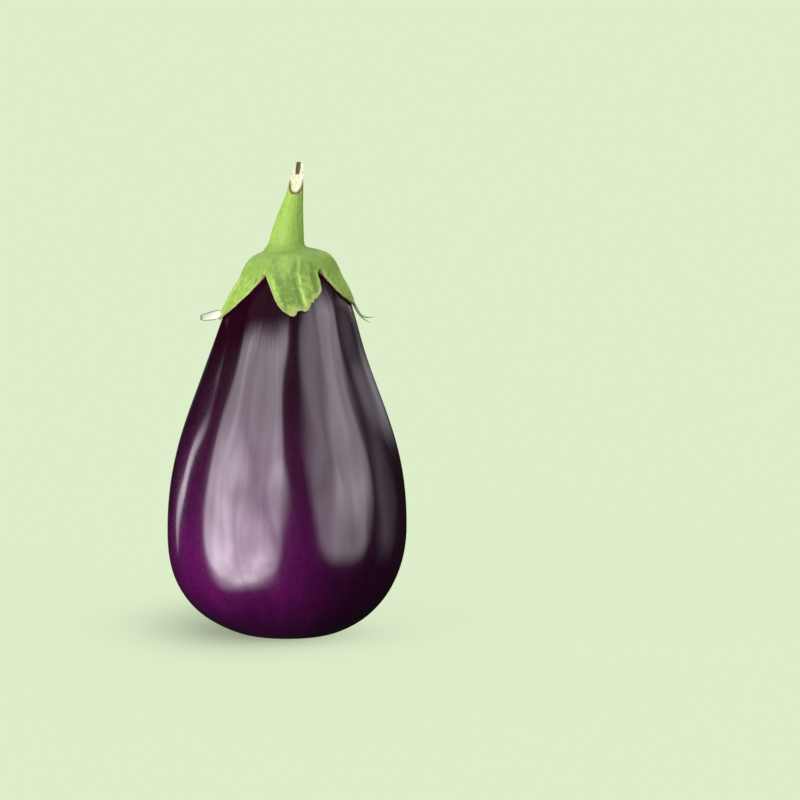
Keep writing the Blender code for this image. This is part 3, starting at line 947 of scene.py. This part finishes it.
def floor_material():
    """The pale green floor, with the fruit's soft shadow painted on it."""
    material, graph = paint("floor")
    x, y, _ = graph.parts(graph.place())
    light = 1.0
    for middle_x, middle_y, half_width, half_depth, darkness in FLOOR_SHADOWS:
        across = graph.times(graph.math("SUBTRACT", x, middle_x), 1 / half_width)
        away = graph.times(graph.math("SUBTRACT", y, middle_y), 1 / half_depth)
        reach = graph.add_up(graph.times(across, across), graph.times(away, away))
        shadow = graph.times(graph.math("EXPONENT", graph.times(reach, -1.0)), darkness)
        light = graph.times(graph.math("SUBTRACT", 1.0, shadow), light)
    lit = tuple(colour / falling for colour, falling in zip(PALE_GREEN, FLOOR_LIGHT, strict=True))
    diffuse = graph.add("ShaderNodeBsdfDiffuse", {"Color": (*lit, 1.0)})
    glow = graph.add("ShaderNodeEmission", {"Color": (*PALE_GREEN, 1.0), "Strength": light})
    blend = graph.add("ShaderNodeMixShader", {0: FLOOR_GLOW, 1: diffuse.outputs[0], 2: glow.outputs[0]})
    graph.add("ShaderNodeOutputMaterial", {"Surface": blend.outputs[0]})
    return material


def make_floor():
    """A wide floor that only the camera sees."""
    bpy.ops.mesh.primitive_plane_add(size=FLOOR_SIZE)
    floor = bpy.context.object
    floor.name = "floor"
    floor.data.materials.append(floor_material())
    # Light from below the horizon reaches the fruit through the floor, as its bounce would.
    floor.visible_glossy = False
    floor.visible_diffuse = False
    floor.visible_shadow = False


def panel_light(graph, azimuth, elevation, panel):
    """The light of one panel in this direction."""
    up = graph.math("SUBTRACT", elevation, panel.elevation)
    across = graph.math("SUBTRACT", azimuth, graph.add_up(graph.times(up, panel.slant), panel.azimuth))
    shares = [
        graph.math("POWER", graph.math("ABSOLUTE", graph.times(offset, 1 / half)), panel.square)
        for offset, half in ((across, panel.half_width), (up, panel.half_height))
    ]
    reach = graph.math("POWER", graph.add_up(*shares), 1 / panel.square)
    return graph.ramp(reach, 1 - panel.softness, 1 + panel.softness, panel.level, 0.0)


def make_sky():
    """Soft panels of light all round, and for the camera the same pale green as the floor."""
    world = bpy.data.worlds.new("studio")
    bpy.context.scene.world = world
    graph = Graph(world)
    direction = graph.add("ShaderNodeTexCoord").outputs["Generated"]
    x, y, z = graph.parts(direction)
    degrees = 180 / math.pi
    azimuth = graph.times(graph.math("ARCTAN2", x, graph.times(y, -1.0)), degrees)
    elevation = graph.times(graph.math("ARCSINE", z), degrees)
    light = graph.ramp(elevation, 50.0, 75.0, AMBIENT, TOP_LIGHT)
    panels = graph.add_up(*(panel_light(graph, azimuth, elevation, panel) for panel in PANELS.values()))
    for share, detail_across, detail_up in UNEVEN:
        cloth = graph.join(graph.times(azimuth, detail_across), graph.times(elevation, detail_up), 0.4)
        patches = graph.ramp(graph.noise(cloth, 1.0, 2.0), 0.3, 0.7, 1 - share, 1 + share)
        panels = graph.times(panels, patches)
    light = graph.add_up(light, panels)
    light_path = graph.add("ShaderNodeLightPath").outputs
    light = graph.times(light, graph.ramp(light_path["Is Glossy Ray"], 0.0, 1.0, 1.0, IN_REFLECTIONS))
    lit = graph.add("ShaderNodeBackground", {"Color": (*LIGHT_COLOUR, 1.0), "Strength": light})
    seen = graph.add("ShaderNodeBackground", {"Color": (*PALE_GREEN, 1.0)})
    inputs = {0: light_path["Is Camera Ray"], 1: lit.outputs[0], 2: seen.outputs[0]}
    blend = graph.add("ShaderNodeMixShader", inputs)
    graph.add("ShaderNodeOutputWorld", {"Surface": blend.outputs[0]})


def make_camera():
    """A long lens from a little above, with the fruit left of the middle."""
    data = bpy.data.cameras.new("camera")
    camera = bpy.data.objects.new("camera", data)
    bpy.context.scene.collection.objects.link(camera)
    camera.location = CAMERA_PLACE
    camera.rotation_euler = (math.radians(90 - CAMERA_TILT), 0, 0)
    data.lens = CAMERA_LENS
    data.shift_x, data.shift_y = CAMERA_SHIFT
    data.clip_end = CAMERA_REACH
    bpy.context.scene.camera = camera


make_fruit()
make_calyx()
make_stem()
make_dry_tips()
make_floor()
make_sky()
make_camera()
bpy.context.scene.view_settings.view_transform = "Standard"
